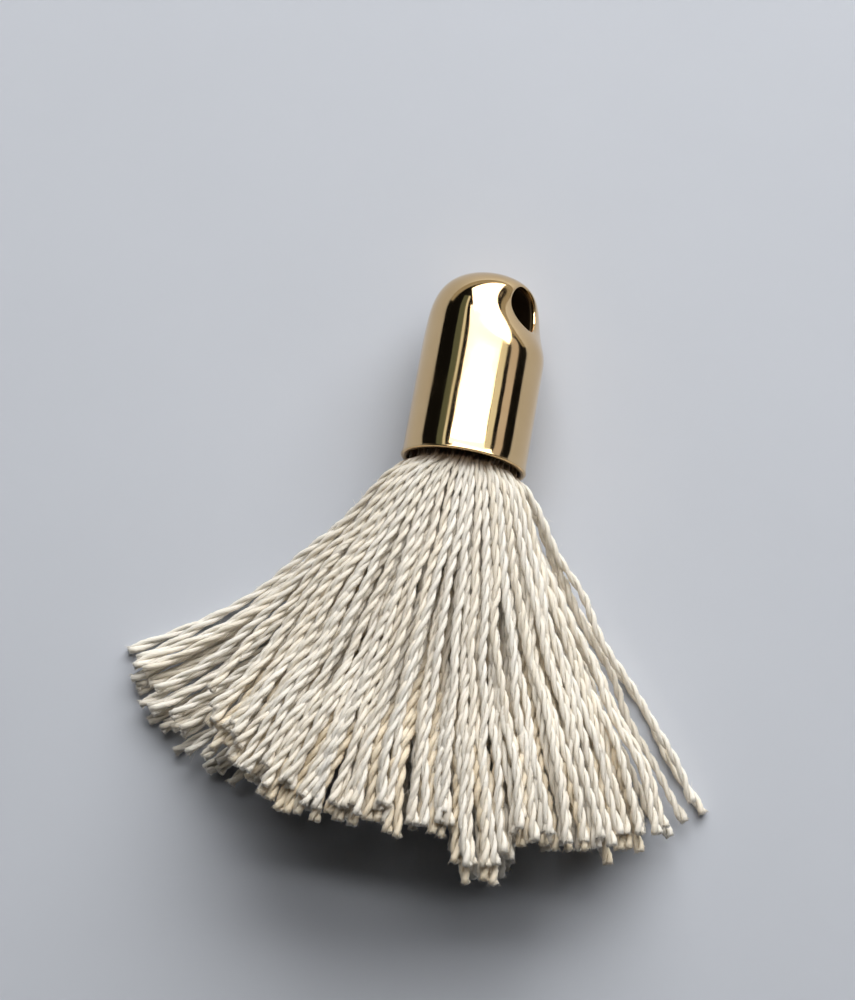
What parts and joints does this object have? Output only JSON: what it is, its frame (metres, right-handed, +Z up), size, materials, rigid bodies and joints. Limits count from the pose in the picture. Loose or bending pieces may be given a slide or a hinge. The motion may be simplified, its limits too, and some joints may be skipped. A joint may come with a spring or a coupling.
{
  "type": "capped tassel",
  "caption": "Small cotton tassel lying on its side: a fanned skirt of plied ivory yarn held in a round-ended polished gold-coloured metal cap with a cross hole for a ring.",
  "frame": {"origin": "on the floor, under the middle of the part's box", "axes": "+Z up from the floor, +Y along the cap towards its domed end, +X across the fan towards the side the ring hole faces"},
  "size_m": [0.0276, 0.0286, 0.0071],
  "materials": {
    "gold_metal": "polished",
    "cotton_yarn": "matte"
  },
  "bodies": {
    "root": {"gold_cap": "gold_metal", "yarn_skirt": "cotton_yarn"}
  },
  "joints": []
}
